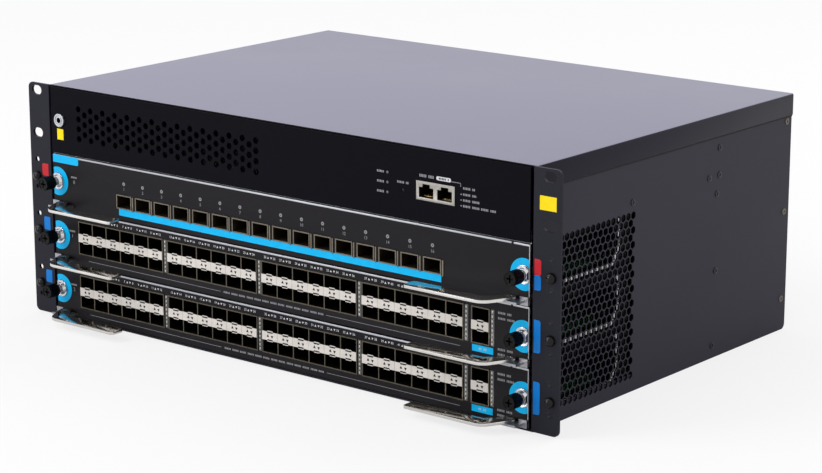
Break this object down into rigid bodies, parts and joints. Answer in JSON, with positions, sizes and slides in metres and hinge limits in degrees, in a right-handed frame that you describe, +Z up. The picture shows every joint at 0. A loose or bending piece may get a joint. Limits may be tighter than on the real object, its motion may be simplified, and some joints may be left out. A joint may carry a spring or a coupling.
{
  "type": "modular ethernet switch",
  "caption": "Rack-mounted modular ethernet switch: dark steel chassis with rack ears, pull-out line modules with port cages, ejector levers and thumbscrews, rear fans and power supplies.",
  "frame": {"origin": "centre of the underside", "axes": "+X to the right seen from the front, +Y towards the back, +Z up"},
  "size_m": [0.4826, 0.36, 0.175],
  "materials": {
    "cover_paint": "fine satin powder coat",
    "dark_paint": "fine matte powder coat",
    "panel_paint": "matte powder coat with bare metal edges",
    "zinc_steel": "zinc-plated sheet",
    "nickel_plate": "bright nickel plate",
    "board_green": "solder mask",
    "dark_plastic": "moulded",
    "latch_plastic": "moulded",
    "light_guide": "clear moulded, unlit"
  },
  "bodies": {
    "chassis": {"base_tray": "dark_paint", "side_wall_left": "dark_paint", "side_wall_right": "dark_paint", "rack_ear_left": "dark_paint", "rack_ear_right": "dark_paint", "card_cage_left": "zinc_steel", "card_cage_right": "zinc_steel", "top_cover": "cover_paint", "mid_deck": "zinc_steel", "front_panel": "dark_paint", "ear_studs": "dark_plastic", "backplane": "board_green", "backplane_sockets": "dark_plastic", "control_board": "board_green", "board_standoffs": "zinc_steel", "console_ports": "nickel_plate", "status_lights": "light_guide", "ground_socket": "nickel_plate", "reset_switch": "dark_plastic", "fan_frames": "dark_plastic"},
    "module_0": {"module_0_panel": "panel_paint", "module_0_board": "board_green", "module_0_cages": "nickel_plate", "module_0_pivots": "zinc_steel"},
    "module_0_lever_left": {"module_0_lever_left": "nickel_plate"},
    "module_0_screw_left": {"module_0_screw_left": "dark_plastic"},
    "module_0_lever_right": {"module_0_lever_right": "nickel_plate"},
    "module_0_screw_right": {"module_0_screw_right": "dark_plastic"},
    "module_1": {"module_1_panel": "panel_paint", "module_1_board": "board_green", "module_1_cages": "nickel_plate", "module_1_pivots": "zinc_steel"},
    "module_1_lever_left": {"module_1_lever_left": "nickel_plate"},
    "module_1_screw_left": {"module_1_screw_left": "dark_plastic"},
    "module_1_lever_right": {"module_1_lever_right": "nickel_plate"},
    "module_1_screw_right": {"module_1_screw_right": "dark_plastic"},
    "module_2": {"module_2_panel": "panel_paint", "module_2_board": "board_green", "module_2_cages": "nickel_plate", "module_2_pivots": "zinc_steel"},
    "module_2_lever_left": {"module_2_lever_left": "nickel_plate"},
    "module_2_screw_left": {"module_2_screw_left": "dark_plastic"},
    "module_2_lever_right": {"module_2_lever_right": "nickel_plate"},
    "module_2_screw_right": {"module_2_screw_right": "dark_plastic"},
    "reset": {"reset_button": "dark_plastic"},
    "fan_rotor_1": {"fan_rotor_1": "dark_plastic"},
    "fan_rotor_2": {"fan_rotor_2": "dark_plastic"},
    "psu_left": {"psu_left_case": "zinc_steel", "psu_left_handle": "dark_plastic", "psu_left_inlet": "dark_plastic"},
    "psu_left_latch": {"psu_left_latch": "latch_plastic"},
    "psu_right": {"psu_right_case": "zinc_steel", "psu_right_handle": "dark_plastic", "psu_right_inlet": "dark_plastic"},
    "psu_right_latch": {"psu_right_latch": "latch_plastic"}
  },
  "joints": [
    {"name": "module_0_slide", "type": "slide", "parent": "chassis", "child": "module_0", "axis": [0, -1, 0], "range_m": [0, 0.18]},
    {"name": "module_0_lever_left_turn", "type": "hinge", "parent": "module_0", "child": "module_0_lever_left", "pos_m": [-0.205, -0.161, 0.0886], "axis": [0, 0, -1], "range_deg": [0, 55]},
    {"name": "module_0_screw_left_turn", "type": "hinge", "parent": "module_0", "child": "module_0_screw_left", "pos_m": [-0.213, -0.156, 0.104], "axis": [0, -1, 0], "continuous": true},
    {"name": "module_0_lever_right_turn", "type": "hinge", "parent": "module_0", "child": "module_0_lever_right", "pos_m": [0.205, -0.161, 0.0886], "axis": [0, 0, 1], "range_deg": [0, 55]},
    {"name": "module_0_screw_right_turn", "type": "hinge", "parent": "module_0", "child": "module_0_screw_right", "pos_m": [0.213, -0.156, 0.104], "axis": [0, -1, 0], "continuous": true},
    {"name": "module_1_slide", "type": "slide", "parent": "chassis", "child": "module_1", "axis": [0, -1, 0], "range_m": [0, 0.18]},
    {"name": "module_1_lever_left_turn", "type": "hinge", "parent": "module_1", "child": "module_1_lever_left", "pos_m": [-0.205, -0.161, 0.0478], "axis": [0, 0, -1], "range_deg": [0, 55]},
    {"name": "module_1_screw_left_turn", "type": "hinge", "parent": "module_1", "child": "module_1_screw_left", "pos_m": [-0.213, -0.156, 0.0632], "axis": [0, -1, 0], "continuous": true},
    {"name": "module_1_lever_right_turn", "type": "hinge", "parent": "module_1", "child": "module_1_lever_right", "pos_m": [0.205, -0.161, 0.0478], "axis": [0, 0, 1], "range_deg": [0, 55]},
    {"name": "module_1_screw_right_turn", "type": "hinge", "parent": "module_1", "child": "module_1_screw_right", "pos_m": [0.213, -0.156, 0.0632], "axis": [0, -1, 0], "continuous": true},
    {"name": "module_2_slide", "type": "slide", "parent": "chassis", "child": "module_2", "axis": [0, -1, 0], "range_m": [0, 0.18]},
    {"name": "module_2_lever_left_turn", "type": "hinge", "parent": "module_2", "child": "module_2_lever_left", "pos_m": [-0.205, -0.161, 0.007], "axis": [0, 0, -1], "range_deg": [0, 55]},
    {"name": "module_2_screw_left_turn", "type": "hinge", "parent": "module_2", "child": "module_2_screw_left", "pos_m": [-0.213, -0.156, 0.0224], "axis": [0, -1, 0], "continuous": true},
    {"name": "module_2_lever_right_turn", "type": "hinge", "parent": "module_2", "child": "module_2_lever_right", "pos_m": [0.205, -0.161, 0.007], "axis": [0, 0, 1], "range_deg": [0, 55]},
    {"name": "module_2_screw_right_turn", "type": "hinge", "parent": "module_2", "child": "module_2_screw_right", "pos_m": [0.213, -0.156, 0.0224], "axis": [0, -1, 0], "continuous": true},
    {"name": "reset_press", "type": "slide", "parent": "chassis", "child": "reset", "axis": [0, 1, 0], "range_m": [0, 0.0008], "stiffness_N_per_m": 400},
    {"name": "fan_rotor_1_spin", "type": "hinge", "parent": "chassis", "child": "fan_rotor_1", "pos_m": [-0.075, 0.1423, 0.062], "axis": [0, 1, 0], "continuous": true},
    {"name": "fan_rotor_2_spin", "type": "hinge", "parent": "chassis", "child": "fan_rotor_2", "pos_m": [0.075, 0.1423, 0.062], "axis": [0, 1, 0], "continuous": true},
    {"name": "psu_left_slide", "type": "slide", "parent": "chassis", "child": "psu_left", "axis": [0, 1, 0], "range_m": [0, 0.16]},
    {"name": "psu_left_latch_press", "type": "hinge", "parent": "psu_left", "child": "psu_left_latch", "pos_m": [-0.053, 0.154, 0.1457], "axis": [0, 0, 1], "range_deg": [0, 10], "stiffness_Nm_per_rad": 0.15},
    {"name": "psu_right_slide", "type": "slide", "parent": "chassis", "child": "psu_right", "axis": [0, 1, 0], "range_m": [0, 0.16]},
    {"name": "psu_right_latch_press", "type": "hinge", "parent": "psu_right", "child": "psu_right_latch", "pos_m": [0.067, 0.154, 0.1457], "axis": [0, 0, 1], "range_deg": [0, 10], "stiffness_Nm_per_rad": 0.15}
  ]
}
